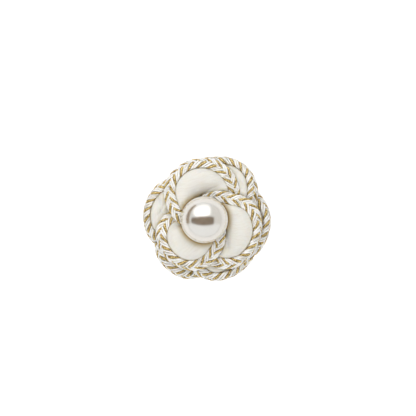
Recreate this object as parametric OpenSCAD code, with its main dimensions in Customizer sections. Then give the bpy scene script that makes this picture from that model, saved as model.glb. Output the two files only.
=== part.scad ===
// Fabric flower brooch: three padded petals round a pearl, five more behind them, a woven
// braid sewn on the margin of each petal, a felt backing and a bar pin.
// Real size in millimetres. The brooch lies on its pin, with the flower facing up (+Z).
// The origin is on the surface it lies on, under the middle of the flower.

/* [Pearl] */
// Diameter of the pearl
pearl_d = 16; // [15:0.5:16]
// Height of the pearl's middle above the surface
pearl_z = 17.2; // [17.2:0.1:18]
// Offset of the pearl from the middle of the flower, to the right
pearl_x = -1.04; // [-1.3:0.01:-0.8]
// Offset of the pearl from the middle of the flower, upwards
pearl_y = -0.35; // [-0.6:0.01:-0.1]

/* [Petals] */
// How far an inner cushion swells above its edge
inner_puff = 1.9; // [1:0.1:1.9]
// How far an outer cushion swells above its edge
outer_puff = 1.6; // [0.8:0.1:1.6]
// Thickness of the cloth margin that carries the braid
margin_t = 0.5; // [0.4:0.05:0.55]
// Gap between pieces that lie on each other
gap = 0.14; // [0.12:0.01:0.16]

/* [Braid] */
// Width of the braid
braid_w = 4.1; // [3.6:0.1:4.2]
// Thickness of the braid
braid_t = 1.2; // [0.8:0.1:1.2]

/* [Backing] */
// Diameter of the felt disc
backing_d = 24; // [23:0.5:24.5]
// Thickness of the felt disc
backing_t = 1.2; // [0.8:0.1:1.2]
// Diameter of the stitched middle that carries the pearl
core_d = 7; // [5:0.5:7]

/* [Pin] */
// Length of the bar
bar_l = 29; // [26:1:30]
// Width of the bar
bar_w = 6; // [5:0.5:7]
// Thickness of the bar
bar_t = 0.9; // [0.7:0.1:1.2]
// Height of the pin back, from its feet to the felt
pin_h = 5; // [4.6:0.1:5]
// Width of the hinge and of the catch
foot_w = 7.5; // [6:0.5:8]
// Length of the hinge and of the catch
foot_l = 5; // [4:0.5:6]
// Diameter of the pin stem
stem_d = 1; // [0.8:0.1:1.2]

/* [Hidden] */

// Edge stations of each petal, from its upper end clockwise to its lower end. The columns are
// the direction from the pearl in degrees, the reach of the braid's middle line from the pearl,
// the reach at which the cushion starts to swell, the height of the braid's middle line, and
// how steeply the braid's outer half is folded down over the edge there, in degrees.
DIRECTION = 0;
REACH = 1;
START = 2;
HEIGHT = 3;
FOLD = 4;
INNER_TOP = [
    [185,  6.5,  4.0, 10.0, -12],
    [175,  8.3,  5.6, 10.6,  -4],
    [164, 10.4,  6.7, 11.3,   5],
    [152, 12.9,  6.7, 11.7,  14],
    [140, 15.7,  6.7, 11.7,  16],
    [126, 18.0,  6.7, 11.5,  42],
    [110, 19.4,  7.8, 11.2,  54],
    [ 95, 19.8,  9.0, 10.9,  54],
    [ 80, 19.1,  9.8, 10.5,  30],
    [ 65, 17.6, 11.1, 10.1,  12],
    [ 50, 15.3, 12.4,  9.8,  14],
    [ 38, 13.2, 11.0,  9.6,  10]
];
INNER_RIGHT = [
    [ 92,  6.3,  4.0, 10.0, -12],
    [ 78,  7.3,  4.8, 10.6,  -6],
    [ 64,  8.7,  6.2, 11.4,   0],
    [ 50, 10.2,  6.7, 12.0,   2],
    [ 38, 11.4,  6.7, 12.3,   5],
    [ 27, 13.9,  6.7, 12.3,  10],
    [ 14, 16.5,  6.7, 12.1,  20],
    [  0, 18.0,  6.7, 11.9,  44],
    [-14, 19.1,  7.6, 11.7,  66],
    [-30, 19.3,  9.2, 11.4,  72],
    [-46, 19.0, 10.8, 10.9,  60],
    [-60, 17.6, 12.5, 10.2,  28],
    [-70, 16.0, 12.8,  9.6,  12],
    [-78, 14.3, 12.0,  9.2,   5]
];
INNER_LEFT = [
    [328,  6.4,  4.0, 10.0, -12],
    [314,  7.8,  5.2, 10.7,  -6],
    [300,  9.8,  6.7, 11.8,   0],
    [288, 11.4,  6.7, 12.3,   4],
    [276, 13.6,  6.7, 12.4,  12],
    [262, 15.8,  6.7, 12.1,  32],
    [246, 17.2,  6.7, 11.7,  54],
    [230, 17.5,  6.7, 11.4,  58],
    [214, 17.0,  6.7, 11.0,  54],
    [200, 15.9,  7.0, 10.4,  32],
    [188, 14.3,  8.4,  9.6,  12],
    [179, 12.4,  9.8,  8.9,   4],
    [173, 10.4,  8.0,  8.5,   0]
];
OUTER_UPPER_RIGHT = [
    [ 92, 20.0, 17.0,  7.0,  56],
    [ 80, 21.2, 18.2,  7.3,  72],
    [ 68, 22.5, 19.5,  7.7,  80],
    [ 56, 22.9, 18.3,  8.2,  82],
    [ 45, 22.2, 16.6,  8.4,  72],
    [ 35, 20.4, 15.6,  8.5,  42],
    [ 26, 18.5, 14.4,  8.8,  18],
    [ 17, 16.4, 13.4,  9.0,   6]
];
OUTER_RIGHT = [
    [ 27, 18.9, 16.0,  5.9,  22],
    [ 17, 20.4, 16.6,  6.3,  46],
    [  3, 22.1, 17.0,  6.8,  74],
    [-12, 22.2, 17.0,  6.8,  76],
    [-26, 21.2, 17.0,  5.6,  56],
    [-35, 19.9, 16.4,  4.5,  28],
    [-42, 18.2, 15.2,  3.9,  14]
];
OUTER_BOTTOM = [
    [-31, 18.6, 15.8,  7.6,  16],
    [-38, 19.9, 16.8,  7.6,  40],
    [-50, 21.0, 17.3,  7.5,  66],
    [-65, 21.4, 17.4,  7.4,  74],
    [-80, 20.7, 15.8,  7.6,  68],
    [-90, 19.1, 15.2,  7.9,  50],
    [-97, 17.5, 14.4,  8.2,  24],
    [-102, 15.4, 13.0, 8.4,   8]
];
OUTER_LOWER_LEFT = [
    [270, 17.8, 15.2,  4.2,  16],
    [261, 19.2, 16.2,  4.8,  34],
    [250, 20.6, 16.8,  6.0,  56],
    [235, 20.7, 16.8,  7.2,  62],
    [220, 19.8, 16.0,  7.6,  54],
    [208, 17.6, 14.4,  7.7,  28]
];
OUTER_LEFT = [
    [208, 17.2, 14.4,  5.0,  26],
    [196, 19.5, 15.8,  5.9,  62],
    [180, 20.7, 15.4,  7.0,  82],
    [164, 20.7, 13.4,  7.7,  82],
    [149, 19.7, 14.4,  8.0,  68],
    [138, 18.1, 14.6,  7.9,  36],
    [130, 16.2, 13.6,  7.8,  14]
];

// Inner petals: height of the stitched root above the felt, drop of the cushion's start below
// the braid, and the width from which a cushion swells in full
felt_top = pin_h + gap + backing_t;
inner_root_z = felt_top + 1.3;
inner_start_dip = 0.6;
inner_full_width = 6;

// Outer petals: the flat tab that reaches in under the inner ones to the felt
tab_t = 0.6;
tab_reach = 11.2;
tab_shoulder = backing_d / 2 + 0.3;
tab_spread = 0.7;
outer_start_drop = 0.2;
outer_full_width = 4;

// All petals: least width of a cushion, how square its crown is, the space beside the braid,
// and how far the braid stands out past the margin that carries it
least_cushion = 0.4;
crown_power = 0.65;
cushion_gap = 0.12;
hem = 0.35;
hairline = 0.02;

// The braid's flat oval: share of its width that is flat, share of its thickness at the edge,
// and share of the outer half's fold by which the inner half leans
braid_flat = 0.62;
braid_rim = 0.41;
inner_lean = 0.15;

// Sections along a petal's edge, and points over its crown
inner_steps = 46;
outer_steps = 24;
crown_steps = 5;
direction_step = 0.05;

// Pin back: end of the bar past its feet, height of the stem, and the catch's slot
bar_end = 0.5;
stem_share = 0.45;
slot_room = 0.8;
tip_d = 0.2;

// The pearl sinks this deep into the stitched middle
seat_depth = 1.4;
round_fn = 64;
small_fn = 32;

// A row between the rows of a table, on a smooth curve through them
function row(rows, i) =
    i < 0 ? 2 * rows[0] - rows[1] :
    i > len(rows) - 1 ? 2 * rows[len(rows) - 1] - rows[len(rows) - 2] : rows[i];
function blend(a, b, c, d, f) =
    b + f / 2 * (c - a + f * (2 * a - 5 * b + 4 * c - d + f * (3 * b - a - 3 * c + d)));
function station(rows, t) =
    let (i = min(floor(t), len(rows) - 2))
    blend(row(rows, i - 1), row(rows, i), row(rows, i + 1), row(rows, i + 2), t - i);

// The braid's middle line in plan, and the level direction towards the petal's inside
function plan(s) = s[REACH] * [cos(s[DIRECTION]), sin(s[DIRECTION])];
function inward(rows, t) =
    let (
        before = plan(station(rows, t - direction_step)),
        after = plan(station(rows, t + direction_step)),
        step = after - before
    )
    [step.y, -step.x] / norm(step);

// A level direction tipped up by an angle, and a point of a plan route at a height
function tipped(side, angle) = [side.x * cos(angle), side.y * cos(angle), sin(angle)];
function raised(c, z) = [c.x, c.y, z];

// The braid's middle layer across station t: its middle, the ways inwards and outwards along it,
// the ways up from both halves, and the way up from the middle, lengthened as a mitre
function fold_frame(rows, t) =
    let (
        s = station(rows, t),
        side = inward(rows, t),
        lean = s[FOLD] * inner_lean,
        bend = (s[FOLD] - lean) / 2
    )
    [raised(plan(s), s[HEIGHT]), tipped(side, lean), -tipped(side, s[FOLD]),
        tipped(side, 90 + lean), tipped(side, 90 + s[FOLD]),
        tipped(side, 90 + lean + bend) / cos(bend)];

// One section of a petal: its top from the root over the crown, down to the margin under the
// braid, and its underside back to the root. An outer petal has a flat tab from its cushion to
// the felt, which narrows to a share of the petal's spread about its middle direction.
function petal_ring(rows, t, is_inner) =
    let (
        s = station(rows, t),
        f = fold_frame(rows, t),
        over = braid_t / 2 + gap,
        under = over + margin_t,
        lip = f[0] + f[1] * (braid_w / 2 + cushion_gap / 4),
        hem_line = f[0] + f[2] * (braid_w / 2 - hem),
        edge = f[0] + f[1] * (braid_w / 2 + cushion_gap),
        q = [edge.x, edge.y],
        r = q * min(s[START], norm(q) - least_cushion) / norm(q),
        root_bottom = is_inner ? inner_root_z : s[HEIGHT] - under - outer_start_drop,
        root_top = is_inner ? s[HEIGHT] - inner_start_dip : root_bottom + tab_t,
        width = norm(q - r),
        puff = is_inner ? inner_puff * min(1, width / inner_full_width)
            : outer_puff * min(1, width / outer_full_width),
        middle = (rows[0][DIRECTION] + rows[len(rows) - 1][DIRECTION]) / 2,
        turn = (s[DIRECTION] - middle) * tab_spread + middle,
        tab = [for (reach = [tab_reach, tab_shoulder]) reach * [cos(turn), sin(turn)]],
        crown = [for (j = [0 : crown_steps])
            let (u = j / crown_steps, swell = puff * pow(sin(180 * u), crown_power))
            raised(r + (q - r) * u, root_top + (edge.z - root_top) * u + swell)],
        underside = [for (j = [crown_steps : -1 : 0])
            let (u = j / crown_steps)
            raised(r + (q - r) * u, root_bottom + (edge.z - under - root_bottom) * u)]
    )
    concat(
        is_inner ? [] : [for (c = tab) raised(c, felt_top + gap + tab_t)],
        crown,
        [lip - f[3] * over, f[0] - f[5] * over, hem_line - f[4] * over],
        [hem_line - f[4] * under, f[0] - f[5] * under, lip - f[3] * (under + hairline)],
        underside,
        is_inner ? [] : [for (c = [tab[1], tab[0]]) raised(c, felt_top + gap)]
    );

// One section of a braid: a flat oval, folded along its middle line
function braid_ring(rows, t) =
    let (
        f = fold_frame(rows, t),
        w = braid_w / 2,
        h = braid_t / 2,
        top = [
            f[1] * w + f[3] * h * braid_rim,
            f[1] * w * braid_flat + f[3] * h,
            f[5] * h / norm(f[5]),
            f[2] * w * braid_flat + f[4] * h,
            f[2] * w + f[4] * h * braid_rim
        ],
        bottom = [
            f[2] * w - f[4] * h * braid_rim,
            f[2] * w * braid_flat - f[4] * h,
            -f[5] * h,
            f[1] * w * braid_flat - f[3] * h,
            f[1] * w - f[3] * h * braid_rim
        ]
    )
    [for (c = concat(top, bottom)) f[0] + c];

// A closed skin over rings that have the same number of points, capped at both ends
module skin(rings) {
    n = len(rings[0]);
    last = (len(rings) - 1) * n;
    sides = [for (j = [0 : len(rings) - 2], i = [0 : n - 1])
        let (a = j * n + i, b = j * n + (i + 1) % n)
        each [[a, b + n, a + n], [a, b, b + n]]];
    first_cap = [for (i = [0 : n / 2 - 2])
        each [[i, n - 2 - i, i + 1], [i, n - 1 - i, n - 2 - i]]];
    last_cap = [for (f = first_cap) [last + f[2], last + f[1], last + f[0]]];
    polyhedron([for (r = rings) each r], concat(sides, first_cap, last_cap), 10);
}

module petal(rows, is_inner) {
    steps = is_inner ? inner_steps : outer_steps;
    end = len(rows) - 1;
    color([0.93, 0.91, 0.86])
        translate([pearl_x, pearl_y, 0])
            skin([for (k = [0 : steps]) petal_ring(rows, end * k / steps, is_inner)]);
}

module braid(rows, is_inner) {
    steps = is_inner ? inner_steps : outer_steps;
    end = len(rows) - 1;
    color([0.78, 0.70, 0.56])
        translate([pearl_x, pearl_y, 0])
            skin([for (k = [0 : steps]) braid_ring(rows, end * k / steps)]);
}

module pearl() {
    color([0.95, 0.93, 0.88])
        translate([pearl_x, pearl_y, pearl_z])
            sphere(d = pearl_d, $fn = round_fn);
}

// The felt disc, with the stitched middle dished to take the pearl
module backing() {
    bottom = pin_h + gap;
    core_top = pearl_z - pearl_d / 2 + seat_depth;
    color([0.88, 0.85, 0.78])
        difference() {
            union() {
                translate([pearl_x, pearl_y, bottom])
                    cylinder(d = backing_d, h = backing_t, $fn = round_fn);
                translate([pearl_x, pearl_y, bottom])
                    cylinder(d = core_d, h = core_top - bottom, $fn = round_fn);
            }
            translate([pearl_x, pearl_y, pearl_z])
                sphere(d = pearl_d + 2 * gap, $fn = round_fn);
        }
}

// Bar, hinge, catch and stem in one piece
module pin_back() {
    foot_x = (bar_l - bar_w) / 2 - bar_end;
    stem_z = pin_h * stem_share;
    bar_z = pin_h - bar_t;
    slot = stem_d + slot_room;
    color([0.80, 0.78, 0.72])
        union() {
            for (x = [-1, 1])
                translate([x * (bar_l - bar_w) / 2, 0, bar_z])
                    cylinder(d = bar_w, h = bar_t, $fn = round_fn);
            translate([-(bar_l - bar_w) / 2, -bar_w / 2, bar_z])
                cube([bar_l - bar_w, bar_w, bar_t]);
            translate([-foot_x - foot_l / 2, -foot_w / 2, 0])
                cube([foot_l, foot_w, bar_z]);
            difference() {
                translate([foot_x - foot_l / 2, -foot_w / 2, 0])
                    cube([foot_l, foot_w, bar_z]);
                translate([foot_x - foot_l, -slot / 2, stem_z - slot / 2])
                    cube([2 * foot_l, foot_w, slot]);
            }
            translate([-foot_x, 0, stem_z])
                rotate([0, 90, 0])
                    cylinder(d = stem_d, h = 2 * foot_x, $fn = small_fn);
            translate([foot_x, 0, stem_z])
                rotate([0, 90, 0])
                    cylinder(d1 = stem_d, d2 = tip_d, h = foot_l, $fn = small_fn);
        }
}

petal(INNER_TOP, true);  // petal_inner_top
petal(INNER_RIGHT, true);  // petal_inner_right
petal(INNER_LEFT, true);  // petal_inner_left
petal(OUTER_UPPER_RIGHT, false);  // petal_outer_upper_right
petal(OUTER_RIGHT, false);  // petal_outer_right
petal(OUTER_BOTTOM, false);  // petal_outer_bottom
petal(OUTER_LOWER_LEFT, false);  // petal_outer_lower_left
petal(OUTER_LEFT, false);  // petal_outer_left
braid(INNER_TOP, true);  // braid_inner_top
braid(INNER_RIGHT, true);  // braid_inner_right
braid(INNER_LEFT, true);  // braid_inner_left
braid(OUTER_UPPER_RIGHT, false);  // braid_outer_upper_right
braid(OUTER_RIGHT, false);  // braid_outer_right
braid(OUTER_BOTTOM, false);  // braid_outer_bottom
braid(OUTER_LOWER_LEFT, false);  // braid_outer_lower_left
braid(OUTER_LEFT, false);  // braid_outer_left
pearl();
backing();
pin_back();
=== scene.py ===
import math
import random

import bpy
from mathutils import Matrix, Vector, kdtree


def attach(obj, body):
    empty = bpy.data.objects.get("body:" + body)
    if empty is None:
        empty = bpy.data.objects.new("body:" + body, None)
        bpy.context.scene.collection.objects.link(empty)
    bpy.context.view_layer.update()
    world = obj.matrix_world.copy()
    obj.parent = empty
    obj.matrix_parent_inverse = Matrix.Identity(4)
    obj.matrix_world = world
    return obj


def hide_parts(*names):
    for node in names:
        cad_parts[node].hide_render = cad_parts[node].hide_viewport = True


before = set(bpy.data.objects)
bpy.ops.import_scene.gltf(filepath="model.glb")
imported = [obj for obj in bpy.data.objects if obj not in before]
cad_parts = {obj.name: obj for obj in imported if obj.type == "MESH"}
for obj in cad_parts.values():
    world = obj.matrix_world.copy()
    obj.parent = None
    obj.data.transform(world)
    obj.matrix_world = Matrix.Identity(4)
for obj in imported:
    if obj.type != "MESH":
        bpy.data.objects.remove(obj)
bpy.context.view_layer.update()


# Felt disc. A round of cream wool felt, 1.2 mm thick, that every petal is sewn down to. It is cut
# with scissors, so its rim shows the felt's own fuzz.
MM = 0.001
FELT_CREAM = (0.74, 0.70, 0.60, 1)
FELT_SHADE = (0.60, 0.55, 0.45, 1)


def set_sockets(node, values):
    """Gives a node's sockets their own values, by name or number."""
    for socket, value in values.items():
        node.inputs[socket].default_value = value


def add_node(nodes, kind, values=None, **settings):
    """A new shader node of a kind, with its settings and its sockets' own values."""
    node = nodes.new("ShaderNode" + kind)
    for name, setting in settings.items():
        setattr(node, name, setting)
    set_sockets(node, values or {})
    return node


def new_material(name):
    """An empty node material, its nodes, a function that links two sockets, and its shader."""
    material = bpy.data.materials.new(name)
    material.use_nodes = True
    nodes, links = material.node_tree.nodes, material.node_tree.links
    nodes.clear()
    output = add_node(nodes, "OutputMaterial")
    shader = add_node(nodes, "BsdfPrincipled")
    links.new(shader.outputs["BSDF"], output.inputs["Surface"])
    return material, nodes, links.new, shader


def new_group(name, inputs, outputs):
    """A node group with its sockets, its nodes, a function that links two sockets, and its entry's
    outputs and exit's inputs. An input starts at a number, or is a vector where that is None."""
    group = bpy.data.node_groups.new(name, "ShaderNodeTree")
    for socket, start in inputs.items():
        kind = "NodeSocketVector" if start is None else "NodeSocketFloat"
        face = group.interface.new_socket(socket, in_out="INPUT", socket_type=kind)
        if start is not None:
            face.default_value = start
    for socket in outputs:
        group.interface.new_socket(socket, in_out="OUTPUT", socket_type="NodeSocketFloat")
    entry, leave = group.nodes.new("NodeGroupInput"), group.nodes.new("NodeGroupOutput")
    return group, group.nodes, group.links.new, entry.outputs, leave.inputs


def add_bump(nodes, link, shader, height, strength, depth):
    """Shades the surface as if a height stood out of it, to a depth in metres."""
    bump = add_node(nodes, "Bump", {"Strength": strength, "Distance": depth})
    link(height, bump.inputs["Height"])
    link(bump.outputs["Normal"], shader.inputs["Normal"])


def fibre_fuzz_group():
    """Matted short fibres: fine uneven lines over a soft blotch."""
    group, nodes, link, entry, leave = new_group(
        "fibre_fuzz", {"Vector": None, "Fibre Scale": 3000, "Blotch Scale": 250},
        ("Height", "Blotch"))
    fibre = add_node(nodes, "TexNoise", {"Detail": 4, "Distortion": 2.2})
    blotch = add_node(nodes, "TexNoise", {"Detail": 2})
    link(entry["Vector"], fibre.inputs["Vector"])
    link(entry["Fibre Scale"], fibre.inputs["Scale"])
    link(entry["Vector"], blotch.inputs["Vector"])
    link(entry["Blotch Scale"], blotch.inputs["Scale"])
    link(fibre.outputs["Fac"], leave["Height"])
    link(blotch.outputs["Fac"], leave["Blotch"])
    return group


def felt_material():
    material, nodes, link, shader = new_material("cream_felt")
    place = add_node(nodes, "TexCoord")
    fuzz = add_node(nodes, "Group", node_tree=fibre_fuzz_group())
    set_sockets(fuzz, {"Fibre Scale": 2600, "Blotch Scale": 300})
    tone = add_node(nodes, "Mix", {"A": FELT_SHADE, "B": FELT_CREAM}, data_type="RGBA")
    link(place.outputs["Object"], fuzz.inputs["Vector"])
    link(fuzz.outputs["Blotch"], tone.inputs["Factor"])
    link(tone.outputs["Result"], shader.inputs["Base Color"])
    add_bump(nodes, link, shader, fuzz.outputs["Height"], strength=0.8, depth=0.15 * MM)
    set_sockets(shader, {"Roughness": 0.95, "Sheen Weight": 0.4, "Sheen Roughness": 0.6})
    return material


def dress(node, material):
    """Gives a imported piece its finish, in every slot that it has."""
    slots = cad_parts[node].data.materials
    if not slots:
        slots.append(material)
    for i in range(len(slots)):
        slots[i] = material


dress("backing", felt_material())


# Pin back. A plain bar with its stem, stamped from nickel-plated steel and sewn to the felt. The
# plating is drawn along the bar, so its brush lines run lengthwise.
NICKEL = (0.62, 0.60, 0.56, 1)
NICKEL_DULL = (0.46, 0.44, 0.41, 1)
BRUSH_LINES = (60, 4000, 4000)


def nickel_material():
    material, nodes, link, shader = new_material("brushed_nickel")
    place = add_node(nodes, "TexCoord")
    stretch = add_node(nodes, "Mapping", {"Scale": BRUSH_LINES})
    brush = add_node(nodes, "TexNoise", {"Scale": 1, "Detail": 3})
    wear = add_node(nodes, "TexNoise", {"Scale": 260, "Detail": 5})
    tone = add_node(nodes, "Mix", {"A": NICKEL_DULL, "B": NICKEL}, data_type="RGBA")
    gloss = add_node(nodes, "MapRange", {"To Min": 0.42, "To Max": 0.24})
    link(place.outputs["Object"], stretch.inputs["Vector"])
    link(stretch.outputs["Vector"], brush.inputs["Vector"])
    link(place.outputs["Object"], wear.inputs["Vector"])
    link(wear.outputs["Fac"], tone.inputs["Factor"])
    link(wear.outputs["Fac"], gloss.inputs["Value"])
    link(tone.outputs["Result"], shader.inputs["Base Color"])
    link(gloss.outputs["Result"], shader.inputs["Roughness"])
    add_bump(nodes, link, shader, brush.outputs["Fac"], strength=0.35, depth=0.02 * MM)
    set_sockets(shader, {"Metallic": 1})
    return material


dress("pin_back", nickel_material())


# Petals. Eight pads of ribbed cream silk drawn over wadding and gathered to a point under the
# pearl: three large ones that lap round like a pinwheel, and five below them. Each is sewn down
# along its rim.
PEARL_AXIS = Vector((-1.04 * MM, -0.35 * MM, 0))
PEARL_R = 8 * MM

# rim: along the braid's middle line, clockwise: azimuth in degrees about the pearl, reach and
#     height in mm, and how steeply the braid's outer half folds down there, in degrees
# ribs: the way the silk's ribs run, in degrees from the right
# puff: how far the cushion swells up beside a neighbour's braid that lies on it, in mm
# point: the end that the plait's arrowheads point at, 1 for the rim's last row, -1 for its first
# repeat and phase: one full repeat of the plait in mm, and where in it the plait starts
PETALS = {
    "inner_top": dict(puff=1.2, ribs=14, point=1, repeat=12, phase=0, rim=[
        (185, 6.5, 10, -12), (175, 8.3, 10.6, -4), (164, 10.4, 11.3, 5), (152, 12.9, 11.7, 14),
        (140, 15.7, 11.7, 16), (126, 18, 11.5, 42), (110, 19.4, 11.2, 54), (95, 19.8, 10.9, 54),
        (80, 19.1, 10.5, 30), (65, 17.6, 10.1, 12), (50, 15.3, 9.8, 14), (38, 13.2, 9.6, 10)]),
    "inner_right": dict(puff=1.2, ribs=5, point=-1, repeat=12, phase=0, rim=[
        (92, 6.3, 10, -12), (78, 7.3, 10.6, -6), (64, 8.7, 11.4, 0), (50, 10.2, 12, 2),
        (38, 11.4, 12.3, 5), (27, 13.9, 12.3, 10), (14, 16.5, 12.1, 20), (0, 18, 11.9, 44),
        (-14, 19.1, 11.7, 66), (-30, 19.3, 11.4, 72), (-46, 19, 10.9, 60), (-60, 17.6, 10.2, 28),
        (-70, 16, 9.6, 12), (-78, 14.3, 9.2, 5)]),
    "inner_left": dict(puff=1.2, ribs=40, point=1, repeat=12, phase=0, rim=[
        (328, 6.4, 10, -12), (314, 7.8, 10.7, -6), (300, 9.8, 11.8, 0), (288, 11.4, 12.3, 4),
        (276, 13.6, 12.4, 12), (262, 15.8, 12.1, 32), (246, 17.2, 11.7, 54), (230, 17.5, 11.4, 58),
        (214, 17, 11, 54), (200, 15.9, 10.4, 32), (188, 14.3, 9.6, 12), (179, 12.4, 8.9, 4),
        (173, 10.4, 8.5, 0)]),
    "outer_upper_right": dict(puff=0.8, ribs=115, point=-1, repeat=10.4, phase=0, rim=[
        (92, 20, 7, 56), (80, 21.2, 7.3, 72), (68, 22.5, 7.7, 80), (56, 22.9, 8.2, 82),
        (45, 22.2, 8.4, 72), (35, 20.4, 8.5, 42), (26, 18.5, 8.8, 18), (17, 16.4, 9, 6)]),
    "outer_right": dict(puff=0, ribs=80, point=-1, repeat=12, phase=0, rim=[
        (27, 18.9, 5.9, 22), (17, 20.4, 6.3, 46), (3, 22.1, 6.8, 74), (-12, 22.2, 6.8, 76),
        (-26, 21.2, 5.6, 56), (-35, 19.9, 4.5, 28), (-42, 18.2, 3.9, 14)]),
    "outer_bottom": dict(puff=0, ribs=0, point=1, repeat=12, phase=0, rim=[
        (-31, 18.6, 7.6, 16), (-38, 19.9, 7.6, 40), (-50, 21, 7.5, 66), (-65, 21.4, 7.4, 74),
        (-80, 20.7, 7.6, 68), (-90, 19.1, 7.9, 50), (-97, 17.5, 8.2, 24), (-102, 15.4, 8.4, 8)]),
    "outer_lower_left": dict(puff=0, ribs=45, point=1, repeat=12, phase=0, rim=[
        (270, 17.8, 4.2, 16), (261, 19.2, 4.8, 34), (250, 20.6, 6, 56), (235, 20.7, 7.2, 62),
        (220, 19.8, 7.6, 54), (208, 17.6, 7.7, 28)]),
    "outer_left": dict(puff=1.2, ribs=85, point=-1, repeat=10.4, phase=0, rim=[
        (208, 17.2, 5, 26), (196, 19.5, 5.9, 62), (180, 20.7, 7, 82), (164, 20.7, 7.7, 82),
        (149, 19.7, 8, 68), (138, 18.1, 7.9, 36), (130, 16.2, 7.8, 14)]),
}

# Places worked out on a rim between two rows of its table
RIM_STEPS = 40


def rim_row(rim, i):
    """A row of the rim's table, carried on in a straight line past either end."""
    if i < 0:
        return [2 * a - b for a, b in zip(rim[0], rim[1])]
    if i >= len(rim):
        return [2 * a - b for a, b in zip(rim[-1], rim[-2])]
    return rim[i]


def rim_place(rim, t):
    """The braid's middle line at t rows along its table, on a smooth curve: point and fold."""
    i = max(0, min(int(t), len(rim) - 2))
    f = t - i
    before, start, end, after = (rim_row(rim, i + k) for k in (-1, 0, 1, 2))
    azimuth, reach, height, fold = (
        b + f / 2 * (c - a + f * (2 * a - 5 * b + 4 * c - d + f * (3 * b - a - 3 * c + d)))
        for a, b, c, d in zip(before, start, end, after))
    turn = math.radians(azimuth)
    point = PEARL_AXIS + Vector((reach * math.cos(turn), reach * math.sin(turn), height)) * MM
    return point, math.radians(fold)


def rim_line(rim):
    """Close places along the middle line, from the first row to the last."""
    count = (len(rim) - 1) * RIM_STEPS
    return [rim_place(rim, i / RIM_STEPS) for i in range(count + 1)]


def seam_finder(line):
    """A search tree of a rim's points in plan, for how far the cloth is from its seam."""
    tree = kdtree.KDTree(len(line))
    for i, (p, _) in enumerate(line):
        tree.insert((p.x, p.y, 0), i)
    tree.balance()
    return tree


RIMS = {}
for key, petal in PETALS.items():
    line = rim_line(petal["rim"])
    RIMS[key] = (line, seam_finder(line))


def only(piece):
    """Makes the piece the one that the next operators act on."""
    bpy.ops.object.select_all(action="DESELECT")
    piece.select_set(True)
    bpy.context.view_layer.objects.active = piece


def smooth_step(low, high, value):
    """From 0 at low to 1 at high, with soft ends, also where high is the lower of the two."""
    f = min(1, max(0, (value - low) / (high - low)))
    return f * f * (3 - 2 * f)


# The swelling is worked out on a pad of 20 times its size, and the first two lengths are of that
# size. The others are of the real size.
SIM_SCALE = 20
SIM_FRAMES = 20
SIM_VOXEL = 5.5 * MM      # the grid of the remeshed skin
SIM_CAP = 6 * MM          # the furthest that a point may move
SEAM_HOLD = 2.2 * MM      # cloth this near its seam is held
GATHER_HOLD = 7.3 * MM    # and so is cloth this near its gathered point
HOLD_FADE = 0.9 * MM      # from there it comes free over this length
FACES_UP = 0.15           # cloth that faces up less than this is held too


def swell(pad, seam):
    """Blows the pad up under its cloth with its seam, its gathered point and its underside held."""
    held = pad.vertex_groups.new(name="held")
    for v in pad.data.vertices:
        place = Vector((v.co.x, v.co.y, 0)) / SIM_SCALE
        from_seam = seam.find(place)[2] - SEAM_HOLD
        from_gather = (place - PEARL_AXIS).length - GATHER_HOLD
        free = min(1, max(0, min(from_seam, from_gather) / HOLD_FADE))
        if v.normal.z < FACES_UP:
            free = 0
        held.add([v.index], 1 - free, "REPLACE")
    rest = [v.co.copy() for v in pad.data.vertices]
    cloth = pad.modifiers.new("swelling", "CLOTH")
    cloth.settings.quality = 6
    cloth.settings.mass = 0.3
    cloth.settings.tension_stiffness = 12
    cloth.settings.compression_stiffness = 12
    cloth.settings.shear_stiffness = 5
    cloth.settings.bending_stiffness = 0.6
    cloth.settings.use_pressure = True
    cloth.settings.uniform_pressure_force = 4
    cloth.settings.effector_weights.gravity = 0
    cloth.settings.vertex_group_mass = "held"
    cloth.collision_settings.use_collision = False
    cloth.point_cache.frame_start = 1
    cloth.point_cache.frame_end = SIM_FRAMES
    scene = bpy.context.scene
    for number in range(1, SIM_FRAMES + 1):
        scene.frame_set(number)
    only(pad)
    bpy.ops.object.modifier_apply(modifier="swelling")
    scene.frame_set(1)
    for v, start in zip(pad.data.vertices, rest):
        move = v.co - start
        if move.length > SIM_CAP:
            v.co = start + move * (SIM_CAP / move.length)
    pad.vertex_groups.clear()


def smooth_cloth(pad, rounds):
    """Evens the cloth out, each point drawn towards its neighbours a number of times."""
    ease = pad.modifiers.new("ease", "SMOOTH")
    ease.factor = 0.5
    ease.iterations = rounds
    bpy.ops.object.modifier_apply(modifier="ease")


PRESS = 0.35 * MM         # how far the rim is pressed towards its plait
PRESS_FROM = 3.4 * MM     # where that starts, off the seam
PRESS_FULL = 2.3 * MM     # where it is full
PRESS_STOP = 1.2 * MM     # where the plait covers the rim, and it stays
MARGIN_DEPTH = 0.35 * MM  # how far below the seam it stays too


def press_rim(pad, seam, line):
    """Presses the cushion's rim against the plait, so that no groove is left between the two."""
    for v in pad.data.vertices:
        place = Vector((v.co.x, v.co.y, 0))
        nearest, i, away = seam.find(place)
        if away < PRESS_STOP or v.co.z < line[i][0].z - MARGIN_DEPTH:
            continue
        share = smooth_step(PRESS_FROM, PRESS_FULL, away)
        v.co += (nearest - place).normalized() * (PRESS * share)


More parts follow.
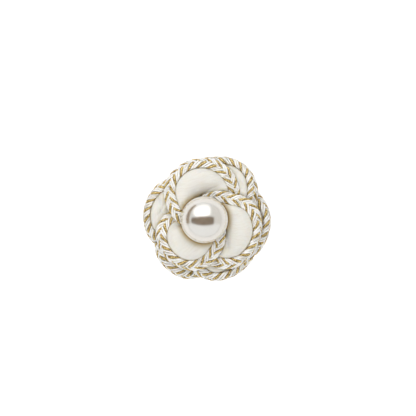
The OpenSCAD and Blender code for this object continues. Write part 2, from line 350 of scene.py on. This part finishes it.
PUFF_FROM = 4.6 * MM      # where the swelling starts, off the neighbour's seam
PUFF_FULL = 3.0 * MM      # where it is full
PUFF_CLEAR = 2.1 * MM     # where it gets less again, at the plait's edge
PUFF_NONE = 1.6 * MM      # where it ends, under the plait
PUFF_UNDER = 0.72 * MM    # how far below the plait's seam it stops
PUFF_SLOPES = (0, 0.5)    # how far up the cloth faces: no swelling, all of it
PUFF_BY_PEARL = (PEARL_R - 0.8 * MM, PEARL_R + 0.2 * MM)  # the same, off the pearl's axis
TUCK = 0.8 * MM           # how far the cloth there is drawn in under the plait
TUCK_FROM = 3.6 * MM      # where that starts, off the neighbour's seam
TUCK_FULL = 2.6 * MM      # where it is full
TUCK_DEPTH = 2.8 * MM     # how deep below the plait it gets less
TUCK_NONE = 4.5 * MM      # how deep it ends
TUCK_SLOPES = (-0.5, 0)   # how far up the cloth faces: no tuck, all of it
BESIDE_SHADE_FADE = 0.8 * MM    # how fast the painted shade beside the plait fades


def puff_beside(pad, key, puff):
    """Swells the cushion up beside each neighbour's braid that lies on it, outside that
    neighbour's rim, and marks how near the braid it is, for the painted shade beside it."""
    beside = pad.data.attributes.new("beside", "FLOAT", "POINT")
    facing = [v.normal.z for v in pad.data.vertices]
    for other, (line, seam) in RIMS.items():
        if other == key:
            continue
        for v, up in zip(pad.data.vertices, facing):
            place = Vector((v.co.x, v.co.y, 0))
            nearest, i, away = seam.find(place)
            if away > PUFF_FROM or i in (0, len(line) - 1):
                continue
            way = line[i + 1][0] - line[i - 1][0]
            top = line[i][0].z - PUFF_UNDER
            if v.co.z > top or (place - nearest).dot(Vector((way.y, -way.x, 0))) > 0:
                continue
            nearness = math.exp(-max(0, away - SEAM_HOLD) / BESIDE_SHADE_FADE)
            beside.data[v.index].value = max(beside.data[v.index].value, nearness)
            tuck = smooth_step(TUCK_FROM, TUCK_FULL, away)
            tuck *= smooth_step(TUCK_NONE, TUCK_DEPTH, top - v.co.z)
            tuck *= smooth_step(*TUCK_SLOPES, up)
            v.co += (nearest - place).normalized() * (TUCK * tuck)
            share = smooth_step(PUFF_FROM, PUFF_FULL, away)
            share *= smooth_step(PUFF_NONE, PUFF_CLEAR, away)
            share *= smooth_step(*PUFF_BY_PEARL, (place - PEARL_AXIS).length)
            share *= smooth_step(*PUFF_SLOPES, up)
            v.co.z += min(top - v.co.z, puff) * share


PEARL_SHADE_FADE = 0.9 * MM     # how fast the painted shade round the pearl fades
BRAID_COVER = 1.9 * MM    # how much of the cloth its own plait covers
BED_SHADE_FADE = 0.25 * MM      # how fast the painted shade beside that plait fades
BRAID_SHADE = 0.5        # how dark the painted shade beside a plait is, to the pearl's 1


def paint_crease_shade(mesh, seam):
    """Marks how much painted shade the cloth gets in the creases beside the pearl or a plait."""
    crease_shade = mesh.attributes.new("crease_shade", "FLOAT", "POINT")
    for i, v in enumerate(mesh.vertices):
        place = Vector((v.co.x, v.co.y, 0))
        from_braid = max(0, seam.find(place)[2] - BRAID_COVER) / BED_SHADE_FADE
        from_pearl = max(0, (place - PEARL_AXIS).length - PEARL_R) / PEARL_SHADE_FADE
        near_braid = max(math.exp(-from_braid), mesh.attributes["beside"].data[i].value)
        crease_shade.data[i].value = max(math.exp(-from_pearl), BRAID_SHADE * near_braid)


def lay_grain(mesh, ribs):
    """Maps the cloth in mm, along its ribs and across them."""
    grain = mesh.uv_layers.new(name="grain")
    turn = math.radians(ribs)
    along = Vector((math.cos(turn), math.sin(turn), 0))
    across = Vector((-math.sin(turn), math.cos(turn), 0))
    for loop in mesh.loops:
        place = mesh.vertices[loop.vertex_index].co / MM
        grain.data[loop.index].uv = (place.dot(along), place.dot(across))


def make_petal(key, puff, ribs, material, **_):
    """One padded petal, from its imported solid: merged, remeshed as one skin, and swollen."""
    node = "petal_" + key
    line, seam = RIMS[key]
    pad = bpy.data.objects.new("silk_" + key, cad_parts[node].data.copy())
    bpy.context.scene.collection.objects.link(pad)
    only(pad)
    bpy.ops.object.mode_set(mode="EDIT")
    bpy.ops.mesh.select_all(action="SELECT")
    bpy.ops.mesh.remove_doubles(threshold=0.01 * MM)
    bpy.ops.object.mode_set(mode="OBJECT")
    pad.scale = (SIM_SCALE,) * 3
    bpy.ops.object.transform_apply(location=False, rotation=False, scale=True)
    skin = pad.modifiers.new("skin", "REMESH")
    skin.mode = "VOXEL"
    skin.voxel_size = SIM_VOXEL
    bpy.ops.object.modifier_apply(modifier="skin")
    swell(pad, seam)
    smooth_cloth(pad, rounds=4)
    pad.scale = (1 / SIM_SCALE,) * 3
    bpy.ops.object.transform_apply(location=False, rotation=False, scale=True)
    press_rim(pad, seam, line)
    puff_beside(pad, key, puff * MM)
    smooth_cloth(pad, rounds=3)
    fine = pad.modifiers.new("fine", "SUBSURF")
    fine.levels = fine.render_levels = 1
    bpy.ops.object.modifier_apply(modifier="fine")
    bpy.ops.object.shade_smooth()
    paint_crease_shade(pad.data, seam)
    lay_grain(pad.data, ribs)
    pad.data.materials.clear()
    pad.data.materials.append(material)
    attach(pad, "root")
    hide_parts(node)


SILK_CREAM = (0.78, 0.775, 0.73, 1)
SILK_SHADE = (0.73, 0.71, 0.65, 1)

# How the cream is darkened by painted shade, from open cloth to the bottom of a crease
CREASE_SHADE_TONES = [(0.08, (1, 1, 1, 1)), (0.3, (0.80, 0.74, 0.60, 1)),
                (0.6, (0.66, 0.50, 0.28, 1)), (0.9, (0.30, 0.17, 0.04, 1))]

RIBS_A_MM = 1.7           # ribs of weft in a mm
WARP_A_MM = 4.5           # threads of warp in a mm
WARP_SHARE = 0.25         # the warp's height as a share of the ribs'
RIB_WAVER = 1.6           # how far the ribs waver, in mm


def ribbed_silk_group():
    """Faille ribs: rounded cords of weft along U that waver a little, and the finer warp."""
    group, nodes, link, entry, leave = new_group(
        "ribbed_silk", {"Grain": None, "Ribs": RIBS_A_MM}, ("Height", "Slub"))
    waver = add_node(nodes, "TexNoise", {"Scale": 0.35, "Detail": 2})
    drift = add_node(nodes, "VectorMath", {1: (0, RIB_WAVER, 0)}, operation="MULTIPLY_ADD")
    split = add_node(nodes, "SeparateXYZ")
    turns = add_node(nodes, "Math", operation="MULTIPLY")
    to_angle = add_node(nodes, "Math", {1: 2 * math.pi}, operation="MULTIPLY")
    rib = add_node(nodes, "Math", operation="SINE")
    warp_turns = add_node(nodes, "Math", {1: 2 * math.pi * WARP_A_MM}, operation="MULTIPLY")
    warp = add_node(nodes, "Math", operation="SINE")
    warp_part = add_node(nodes, "Math", {1: WARP_SHARE}, operation="MULTIPLY")
    both = add_node(nodes, "Math", operation="ADD")
    stretch = add_node(nodes, "Mapping", {"Scale": (0.25, 2.4, 1)})
    slub = add_node(nodes, "TexNoise", {"Scale": 1, "Detail": 3})
    link(entry["Grain"], waver.inputs["Vector"])
    link(waver.outputs["Color"], drift.inputs[0])
    link(entry["Grain"], drift.inputs[2])
    link(drift.outputs["Vector"], split.inputs["Vector"])
    link(split.outputs["Y"], turns.inputs[0])
    link(entry["Ribs"], turns.inputs[1])
    link(turns.outputs["Value"], to_angle.inputs[0])
    link(to_angle.outputs["Value"], rib.inputs[0])
    link(split.outputs["X"], warp_turns.inputs[0])
    link(warp_turns.outputs["Value"], warp.inputs[0])
    link(warp.outputs["Value"], warp_part.inputs[0])
    link(rib.outputs["Value"], both.inputs[0])
    link(warp_part.outputs["Value"], both.inputs[1])
    link(both.outputs["Value"], leave["Height"])
    link(drift.outputs["Vector"], stretch.inputs["Vector"])
    link(stretch.outputs["Vector"], slub.inputs["Vector"])
    link(slub.outputs["Fac"], leave["Slub"])
    return group


def set_ramp(ramp, tones):
    """Gives a ColorRamp node its colours: (position, colour) from the first to the last."""
    stops = ramp.color_ramp.elements
    stops[0].position, stops[0].color = tones[0]
    stops[1].position, stops[1].color = tones[-1]
    for position, colour in tones[1:-1]:
        stops.new(position).color = colour


def silk_material():
    material, nodes, link, shader = new_material("cream_ribbed_silk")
    grain = add_node(nodes, "UVMap", uv_map="grain")
    weave = add_node(nodes, "Group", node_tree=ribbed_silk_group())
    set_sockets(weave, {"Ribs": RIBS_A_MM})
    # The crease mark darkens the cream towards brown by the pearl and the plaits: painted shade.
    crease_shade = add_node(nodes, "Attribute", attribute_name="crease_shade")
    slub_tone = add_node(nodes, "Mix", {"A": SILK_SHADE, "B": SILK_CREAM}, data_type="RGBA")
    slub_range = add_node(nodes, "MapRange", {"From Min": 0.25, "From Max": 0.55})
    crease_shade_ramp = add_node(nodes, "ValToRGB")
    set_ramp(crease_shade_ramp, CREASE_SHADE_TONES)
    crease_shade_tone = add_node(nodes, "Mix", {"Factor": 1}, data_type="RGBA", blend_type="MULTIPLY")
    link(grain.outputs["UV"], weave.inputs["Grain"])
    link(weave.outputs["Slub"], slub_range.inputs["Value"])
    link(slub_range.outputs["Result"], slub_tone.inputs["Factor"])
    link(crease_shade.outputs["Fac"], crease_shade_ramp.inputs["Fac"])
    link(crease_shade_ramp.outputs["Color"], crease_shade_tone.inputs["B"])
    link(slub_tone.outputs["Result"], crease_shade_tone.inputs["A"])
    link(crease_shade_tone.outputs["Result"], shader.inputs["Base Color"])
    add_bump(nodes, link, shader, weave.outputs["Height"], strength=0.5, depth=0.02 * MM)
    set_sockets(shader, {
        "Roughness": 0.6, "Sheen Weight": 0.25, "Sheen Roughness": 0.4, "Subsurface Weight": 0.5,
        "Subsurface Radius": (1, 0.8, 0.55), "Subsurface Scale": 1.2 * MM})
    return material


silk = silk_material()
for key, petal in PETALS.items():
    make_petal(key, material=silk, **petal)


# Braids. A flat three-strand plait follows the rim of each petal and hides its seam, folded over
# the rim along its middle. Each strand is two silvery-white cords and one of gold, turned over at
# each edge, so that arrowheads run along the plait.
UPRIGHT = Vector((0, 0, 1))
STRANDS = 3

# The cords of one strand: where each runs in it, its radius in mm, and whether it is the gold one
STRAND = [(-1.0, 0.50, True), (0.10, 0.41, False), (1.05, 0.41, False)]

PLAIT_HALF = 2.05 * MM    # half of a plait's width
PLAIT_LIFT = 0.08 * MM    # how far its middle layer lies above the rim's line
SWING = 1.66 * MM         # how far a cord swings to either side
RISE = 0.30 * MM          # how far it lies above or below the middle layer
BEND_REACH = 0.8 * MM     # half the width of the bend over the rim
INNER_LEAN = 0.15         # the inner half's lean, as a share of the fold
SPINE_SLIP = 0.45 * MM    # how far the cords slip outwards for each radian of the fold
COME_UP = 0.6 * MM        # a cord comes up over this length, either side of the middle
TURN_OVER = 0.80 * MM     # and turns over along this one, either side of an edge
TO_EDGE = 0.25            # the way from the middle to an edge, in shares of a repeat
SPREAD = 1 / 9            # how far a strand's cords lie apart, in such shares
CUT_EARLY = 1 / 60        # how early they come up
CUT_SLANT = 1 / 45        # how much earlier each next one does
EDGE_CORNER = 0.8         # how they turn at an edge, from 0, round, to 1, sharp
CORD_STEPS = 44           # steps of a cord in one repeat
CORD_SIDES = 12           # corners of its section
CORD_FLAT = 0.74          # its height as a share of its width
GOLD_WIDE = 1.12          # how thick the gold cord is at the plait's middle
GOLD_TAPER = 0.42         # how much of that is gone at the edges
WAVES = 3                 # waves in the waver of plaiting by hand
WAVER_RATES = (0.9, 1.6)  # the range that their rates are drawn from
WAVER_STARTS = (0, 6.3)   # and their starts, in radians
WAVER_PACE = 0.45         # how fast they run, in radians a mm
WAVER_ALONG = 0.25 * MM   # how far they move a cord along the plait
WAVER_ACROSS = 0.04       # and across it, as a share


def rim_frames(rim):
    """The middle line as (distance, point, level way in towards the petal's middle, fold)."""
    line = rim_line(rim)
    frames, distance = [], 0
    for i, (p, fold) in enumerate(line):
        back, ahead = line[max(0, i - 1)][0], line[min(len(line) - 1, i + 1)][0]
        if i:
            distance += (p - line[i - 1][0]).length
        way = ahead - back
        frames.append((distance, p, Vector((way.y, -way.x, 0)).normalized(), fold))
    return frames


def frame_at(frames, distance):
    """The middle line's point, level way in and fold at a distance along it."""
    low, high = 0, len(frames) - 1
    while high - low > 1:
        middle = (low + high) // 2
        if frames[middle][0] <= distance:
            low = middle
        else:
            high = middle
    a, b = frames[low], frames[high]
    f = (distance - a[0]) / (b[0] - a[0])
    return a[1].lerp(b[1], f), a[2].lerp(b[2], f).normalized(), a[3] + (b[3] - a[3]) * f


def across_fold(level_in, fold, across):
    """Where the folded plait's middle layer is at a distance across it, and the way up from it.
    Its inner half leans a little, its outer half is folded down, and a rounded bend joins them."""
    lean = fold * INNER_LEAN
    inner = level_in * math.cos(lean) + UPRIGHT * math.sin(lean)
    outer = -level_in * math.cos(fold) - UPRIGHT * math.sin(fold)
    s = min(1, max(0, 0.5 - 0.5 * across / BEND_REACH))
    place = (inner * (1 - s) ** 2 + outer * s ** 2) * BEND_REACH
    place += inner * max(0, across - BEND_REACH) + outer * max(0, -across - BEND_REACH)
    outward = (outer * s - inner * (1 - s)).normalized()
    return place, level_in * outward.z - UPRIGHT * outward.dot(level_in)


def plait_place(turns, repeat, strand, beside):
    """How far across the plait and up from it a cord lies after a number of repeats. It runs from
    the middle to an edge on top, turns over there, and comes back below. The arrowheads point
    back along the distance."""
    own = (turns + strand / STRANDS - beside * SPREAD) % 1
    swing = math.asin(EDGE_CORNER * math.sin(2 * math.pi * own)) / math.asin(EDGE_CORNER)
    half = own % 0.5
    from_middle = half if half < 1.5 * TO_EDGE else half - 0.5
    rise, over = COME_UP / repeat, TURN_OVER / repeat
    come_up = smooth_step(-rise, rise, from_middle + CUT_EARLY + beside * CUT_SLANT)
    gone_over = smooth_step(TO_EDGE - over, TO_EDGE + over, from_middle)
    return SWING * swing, RISE * (2 * come_up * (1 - gone_over) - 1)


def cord_section(radius):
    """A cord's own outline, a slightly flattened round."""
    bpy.ops.object.select_all(action="DESELECT")
    bpy.ops.curve.primitive_nurbs_circle_add()
    section = bpy.context.object
    section.name = "cord_section"
    section.data.splines.clear()
    spline = section.data.splines.new("POLY")
    spline.points.add(CORD_SIDES - 1)
    spline.use_cyclic_u = True
    for i, place in enumerate(spline.points):
        turn = 2 * math.pi * i / CORD_SIDES
        place.co = (radius * math.cos(turn), radius * CORD_FLAT * math.sin(turn), 0, 1)
    return section


def make_cord(points, ups, sizes, section):
    """One cord of the plait, its section drawn along its points and rolled to lie flat on it."""
    bpy.ops.object.select_all(action="DESELECT")
    bpy.ops.curve.primitive_nurbs_path_add()
    cord = bpy.context.object
    cord.name = "cord"
    data = cord.data
    data.splines.clear()
    spline = data.splines.new("POLY")
    last = len(points) - 1
    spline.points.add(last)
    for i, (place, p, up, size) in enumerate(zip(spline.points, points, ups, sizes)):
        place.co = (*p, 1)
        place.radius = size
        way = (points[min(i + 1, last)] - points[max(i - 1, 0)]).normalized()
        level_up = UPRIGHT - way * way.z
        place.tilt = math.atan2(way.dot(level_up.cross(up)), level_up.dot(up))
    data.use_path = False
    data.twist_mode = "Z_UP"
    data.bevel_mode = "OBJECT"
    data.bevel_object = section
    data.use_fill_caps = True
    bpy.ops.object.convert(target="MESH")
    cord = bpy.context.object
    bpy.ops.object.shade_smooth()
    return cord


def make_braid(key, rim, point, repeat, phase, silver, gold, **_):
    """One plait: each of its nine cords drawn along the rim, and all joined as one piece."""
    frames = rim_frames(rim)
    length = frames[-1][0]
    repeat *= MM
    draw = random.Random(key)
    waver = [(draw.uniform(*WAVER_RATES), draw.uniform(*WAVER_STARTS)) for _ in range(WAVES)]
    steps = round(length / repeat * CORD_STEPS)
    cords = []
    for strand in range(STRANDS):
        for beside, radius, is_gold in STRAND:
            points, ups, sizes = [], [], []
            for i in range(steps + 1):
                distance = length * i / steps
                pull = sum(math.sin(distance / MM * rate * WAVER_PACE + start)
                           for rate, start in waver) / WAVES
                turns = (distance + WAVER_ALONG * pull) / repeat + phase
                across, up = plait_place(turns, repeat, strand, beside)
                across *= 1 + WAVER_ACROSS * pull
                along = distance
                if point > 0:
                    along = length - along
                    across = -across
                spot, level_in, fold = frame_at(frames, along)
                across -= SPINE_SLIP * fold * (1 - (across / PLAIT_HALF) ** 2)
                place, way_up = across_fold(level_in, fold, across)
                points.append(spot + place + way_up * (up + PLAIT_LIFT))
                ups.append(way_up)
                sizes.append(GOLD_WIDE - GOLD_TAPER * abs(across) / SWING if is_gold else 1)
            section = cord_section(radius * MM)
            tube = make_cord(points, ups, sizes, section)
            bpy.data.objects.remove(section)
            tube.data.materials.clear()
            tube.data.materials.append(gold if is_gold else silver)
            cords.append(tube)
    only(cords[0])
    for tube in cords[1:]:
        tube.select_set(True)
    bpy.ops.object.join()
    braid = bpy.context.object
    braid.name = braid.data.name = "plait_" + key
    bpy.ops.object.mode_set(mode="EDIT")
    bpy.ops.mesh.select_all(action="SELECT")
    bpy.ops.mesh.normals_make_consistent(inside=False)
    bpy.ops.object.mode_set(mode="OBJECT")
    bpy.ops.object.transform_apply(location=True, rotation=True, scale=True)
    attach(braid, "root")
    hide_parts("braid_" + key)


# Colours of a cord, from painted shade and the dark between threads to painted highlight
SILVER_TONES = [(0.0, (0.44, 0.41, 0.34, 1)), (0.3, (0.74, 0.72, 0.66, 1)),
                (0.6, (0.97, 0.965, 0.93, 1))]
GOLD_TONES = [(0.0, (0.10, 0.05, 0.008, 1)), (0.35, (0.34, 0.21, 0.05, 1)),
              (0.9, (0.86, 0.68, 0.30, 1))]

# How fast the threads change from place to place in the plait, so that no two cords are alike
THREAD_DRIFT = (90, 70, 40)


def thread_lines_group():
    """The threads of one cord, on its tube's own map: fine lines, with a painted highlight
    on its crown and painted shade on its sides.
    """
    group, nodes, link, entry, leave = new_group(
        "thread_lines", {"Map": None, "Drift": None, "Along": 18, "Round": 14, "Side Shade From": 0.1},
        ("Height", "Tone"))
    apart = add_node(nodes, "SeparateXYZ")
    along_it = add_node(nodes, "Math", operation="MULTIPLY")
    round_it = add_node(nodes, "Math", operation="MULTIPLY")
    drift = add_node(nodes, "VectorMath", {1: THREAD_DRIFT}, operation="DOT_PRODUCT")
    spot = add_node(nodes, "CombineXYZ")
    fine = add_node(nodes, "TexNoise", {"Scale": 1, "Detail": 2})
    turn = add_node(nodes, "Math", {1: 2 * math.pi}, operation="MULTIPLY")
    crown = add_node(nodes, "Math", operation="SINE")
    # The cord's crown is lightened and its sides darkened by where on its round each point lies:
    # painted highlight and painted shade.
    crown_highlight_and_shade = add_node(nodes, "MapRange", {"From Max": 0.9, "To Min": 0.2},
                           interpolation_type="SMOOTHSTEP")
    contrast = add_node(nodes, "MapRange", {"From Min": 0.32, "From Max": 0.58})
    tone = add_node(nodes, "Math", operation="MULTIPLY")
    link(entry["Map"], apart.inputs["Vector"])
    link(apart.outputs["X"], along_it.inputs[0])
    link(entry["Along"], along_it.inputs[1])
    link(apart.outputs["Y"], round_it.inputs[0])
    link(entry["Round"], round_it.inputs[1])
    link(entry["Drift"], drift.inputs[0])
    link(along_it.outputs["Value"], spot.inputs["X"])
    link(round_it.outputs["Value"], spot.inputs["Y"])
    link(drift.outputs["Value"], spot.inputs["Z"])
    link(spot.outputs["Vector"], fine.inputs["Vector"])
    link(apart.outputs["Y"], turn.inputs[0])
    link(turn.outputs["Value"], crown.inputs[0])
    link(entry["Side Shade From"], crown_highlight_and_shade.inputs["From Min"])
    link(crown.outputs["Value"], crown_highlight_and_shade.inputs["Value"])
    link(fine.outputs["Fac"], contrast.inputs["Value"])
    link(contrast.outputs["Result"], tone.inputs[0])
    link(crown_highlight_and_shade.outputs["Result"], tone.inputs[1])
    link(fine.outputs["Fac"], leave["Height"])
    link(tone.outputs["Value"], leave["Tone"])
    return group


thread_lines = thread_lines_group()


def cord_material(name, tones, along, around, side_shade_from, metallic, roughness):
    material, nodes, link, shader = new_material(name)
    wrap = add_node(nodes, "UVMap", uv_map="UVMap")
    place = add_node(nodes, "TexCoord")
    threads = add_node(nodes, "Group", node_tree=thread_lines)
    set_sockets(threads, {"Along": along, "Round": around, "Side Shade From": side_shade_from})
    ramp = add_node(nodes, "ValToRGB")
    set_ramp(ramp, tones)
    link(wrap.outputs["UV"], threads.inputs["Map"])
    link(place.outputs["Object"], threads.inputs["Drift"])
    link(threads.outputs["Tone"], ramp.inputs["Fac"])
    link(ramp.outputs["Color"], shader.inputs["Base Color"])
    add_bump(nodes, link, shader, threads.outputs["Height"], strength=0.5, depth=0.05 * MM)
    set_sockets(shader, {
        "Metallic": metallic, "Roughness": roughness, "Subsurface Weight": 0.4,
        "Subsurface Radius": (1, 0.85, 0.65), "Subsurface Scale": 0.5 * MM})
    return material


silver_cord = cord_material("silver_white_cord", SILVER_TONES, along=16, around=9, side_shade_from=0.15,
                            metallic=0.15, roughness=0.4)
gold_cord = cord_material("gold_cord", GOLD_TONES, along=150, around=7, side_shade_from=0.4,
                          metallic=0.6, roughness=0.35)
for key, petal in PETALS.items():
    make_braid(key, silver=silver_cord, gold=gold_cord, **petal)


# Pearl. One large round bead of cream pearl lacquer, 16 mm across, sewn through the hole under it
# to the point where the petals meet.
PEARL_CENTRE = Vector((PEARL_AXIS.x, PEARL_AXIS.y, 17.2 * MM))
HOLE_SPAN = math.radians(7)  # half of the drilled hole, from the bead's middle
HOLE_LIP = 0.1 * MM
HOLE_DEPTH = 2.5 * MM
NACRE = (0.90, 0.89, 0.86, 1)
NACRE_WARM = (0.86, 0.82, 0.75, 1)


def pearl_material():
    material, nodes, link, shader = new_material("pearl_lacquer")
    place = add_node(nodes, "TexCoord")
    cloud = add_node(nodes, "TexNoise", {"Scale": 180, "Detail": 3})
    tone = add_node(nodes, "Mix", {"A": NACRE_WARM, "B": NACRE}, data_type="RGBA")
    link(place.outputs["Object"], cloud.inputs["Vector"])
    link(cloud.outputs["Fac"], tone.inputs["Factor"])
    link(tone.outputs["Result"], shader.inputs["Base Color"])
    add_bump(nodes, link, shader, cloud.outputs["Fac"], strength=0.08, depth=0.05 * MM)
    set_sockets(shader, {
        "Metallic": 0.92, "Roughness": 0.2, "Coat Weight": 0.2, "Coat Roughness": 0.15})
    return material


def make_pearl():
    bpy.ops.object.select_all(action="DESELECT")
    bpy.ops.mesh.primitive_uv_sphere_add(
        segments=96, ring_count=64, radius=PEARL_R, location=PEARL_CENTRE)
    pearl = bpy.context.object
    pearl.name = pearl.data.name = "pearl_bead"
    bpy.ops.object.transform_apply(location=True, rotation=False, scale=False)
    bpy.ops.object.mode_set(mode="EDIT")
    bpy.ops.mesh.select_all(action="DESELECT")
    bpy.ops.object.mode_set(mode="OBJECT")
    hole_rim = PEARL_CENTRE.z - PEARL_R * math.cos(HOLE_SPAN)
    for face in pearl.data.polygons:
        face.select = face.center.z < hole_rim
    bpy.ops.object.mode_set(mode="EDIT")
    bpy.ops.mesh.inset(thickness=HOLE_LIP)
    bpy.ops.mesh.extrude_region_move(TRANSFORM_OT_translate={"value": (0, 0, HOLE_DEPTH)})
    bpy.ops.object.mode_set(mode="OBJECT")
    bpy.ops.object.shade_smooth_by_angle(angle=math.radians(40))
    pearl.data.materials.append(pearl_material())
    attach(pearl, "root")
    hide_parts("pearl")


make_pearl()


# Camera, floor and light. The brooch lies on its pin on a white table and is seen from straight
# above. A wide soft box stands beyond its top edge and a weaker one hangs over it. The pearl
# mirrors a dark card round the lens and a tan one on its left.
VIEW_CENTRE = Vector((0.17 * MM, 3.62 * MM, 11 * MM))
VIEW_DISTANCE = 339 * MM
LENS = 85

camera_data = bpy.data.cameras.new("camera")
camera = bpy.data.objects.new("camera", camera_data)
bpy.context.scene.collection.objects.link(camera)
camera.location = VIEW_CENTRE + Vector((0, 0, VIEW_DISTANCE))
camera_data.lens = LENS
camera_data.clip_start = 0.01
bpy.context.scene.camera = camera


def plain_material(name, colour, glow=0):
    """A matt surface. Its glow keeps it bright to the camera and gives no light."""
    material, nodes, link, shader = new_material(name)
    place = add_node(nodes, "TexCoord")
    grain = add_node(nodes, "TexNoise", {"Scale": 40})
    tone = add_node(nodes, "Mix", data_type="RGBA")
    set_sockets(tone, {"A": colour, "B": [c * 0.99 for c in colour[:3]] + [1]})
    link(place.outputs["Object"], grain.inputs["Vector"])
    link(grain.outputs["Fac"], tone.inputs["Factor"])
    link(tone.outputs["Result"], shader.inputs["Base Color"])
    set_sockets(shader, {"Roughness": 0.9, "Emission Color": colour})
    if glow:
        ray = add_node(nodes, "LightPath")
        shown = add_node(nodes, "Math", {1: glow}, operation="MULTIPLY")
        link(ray.outputs["Is Camera Ray"], shown.inputs[0])
        link(shown.outputs["Value"], shader.inputs["Emission Strength"])
    return material


def aim(thing, centre, target, front):
    """Turns the front of a card or lamp from its centre towards a target."""
    way = Vector(target) - Vector(centre)
    thing.rotation_euler = way.to_track_quat(front, "Y").to_euler()


def add_card(name, size, centre, target, material, shown=True):
    """A flat sheet of the studio, of a size in metres. It faces a target, or lies face up."""
    bpy.ops.object.select_all(action="DESELECT")
    bpy.ops.mesh.primitive_plane_add(size=1, location=centre)
    card = bpy.context.object
    card.name = name
    card.scale = (*size, 1)
    if target is not None:
        aim(card, centre, target, "Z")
    card.data.materials.append(material)
    card.visible_camera = shown


add_card("table", (3, 3), (0, 0, 0), None,
         plain_material("white_table", (0.86, 0.86, 0.86, 1), glow=0.7))
add_card("lens_card", (1.5, 0.36), (-0.27, -0.045, 0.45), (-0.27, -0.045, 0),
         plain_material("taupe_card", (0.20, 0.12, 0.05, 1)), shown=False)
add_card("left_card", (0.25, 0.046), (-0.125, 0.095, 0.023), (0, 0.095, 0.023),
         plain_material("tan_card", (0.34, 0.25, 0.16, 1)), shown=False)

# The soft box's strength and the haze that all of its cloth gives, its faded ends and edge too
BOX_STRENGTH = 1.05
BOX_HAZE = 0.62


def soft_box_material():
    """A soft box's cloth: even up to its near edge, faded towards its far edge and two ends."""
    material, nodes, link, shader = new_material("soft_box_cloth")
    place = add_node(nodes, "TexCoord")
    parts = add_node(nodes, "SeparateXYZ")
    from_middle = add_node(nodes, "Math", operation="ABSOLUTE")
    end_fade = add_node(nodes, "MapRange", {"From Min": 0.5, "From Max": 0.2},
                        interpolation_type="SMOOTHSTEP")
    far_fade = add_node(nodes, "MapRange",
                        {"From Min": -0.5, "From Max": 0.15, "To Max": BOX_STRENGTH},
                        interpolation_type="SMOOTHSTEP")
    both = add_node(nodes, "Math", operation="MULTIPLY")
    haze = add_node(nodes, "Math", {1: BOX_HAZE}, operation="ADD")
    link(place.outputs["Object"], parts.inputs["Vector"])
    link(parts.outputs["X"], from_middle.inputs[0])
    link(from_middle.outputs["Value"], end_fade.inputs["Value"])
    link(parts.outputs["Y"], far_fade.inputs["Value"])
    link(end_fade.outputs["Result"], both.inputs[0])
    link(far_fade.outputs["Result"], both.inputs[1])
    link(both.outputs["Value"], haze.inputs[0])
    link(haze.outputs["Value"], shader.inputs["Emission Strength"])
    set_sockets(shader, {"Base Color": (0, 0, 0, 1), "Emission Color": (1, 1, 1, 1)})
    return material


add_card("top_box", (0.95, 0.74), (-0.1, 0.36, 0.26), (0, 0, 0.01), soft_box_material())

FRONT_BOX_AT = (-0.04, -0.07, 0.43)
bpy.ops.object.select_all(action="DESELECT")
bpy.ops.object.light_add(type="AREA", location=FRONT_BOX_AT)
front_box = bpy.context.object
front_box.name = "front_box"
front_box.data.shape = "RECTANGLE"
front_box.data.size = front_box.data.size_y = 0.4
front_box.data.energy = 1.4
aim(front_box, FRONT_BOX_AT, (0, 0, 0), "-Z")
front_box.visible_glossy = False

# The room is white, lighter beyond the brooch's lower edge, and it lights matt surfaces less than
# it shows in glossy ones.
ROOM_WHITE = (0.72, 0.71, 0.69, 1)
ROOM_LIGHTER = (0.86, 0.87, 0.88, 1)
ROOM_SOFT = 0.68

world = bpy.data.worlds.new("studio")
bpy.context.scene.world = world
world.use_nodes = True
room, room_link = world.node_tree.nodes, world.node_tree.links.new
outlook = add_node(room, "TexCoord")
parts = add_node(room, "SeparateXYZ")
sweep = add_node(room, "MapRange", {"From Min": -0.22, "From Max": -0.36},
                 interpolation_type="SMOOTHSTEP")
room_tone = add_node(room, "Mix", {"A": ROOM_WHITE, "B": ROOM_LIGHTER}, data_type="RGBA")
bounce = add_node(room, "LightPath")
level = add_node(room, "MapRange", {"To Min": 1, "To Max": ROOM_SOFT})
room_link(outlook.outputs["Generated"], parts.inputs["Vector"])
room_link(parts.outputs["Y"], sweep.inputs["Value"])
room_link(sweep.outputs["Result"], room_tone.inputs["Factor"])
room_link(room_tone.outputs["Result"], room["Background"].inputs["Color"])
room_link(bounce.outputs["Is Diffuse Ray"], level.inputs["Value"])
room_link(level.outputs["Result"], room["Background"].inputs["Strength"])
bpy.context.scene.view_settings.view_transform = "Standard"

bpy.context.view_layer.update()
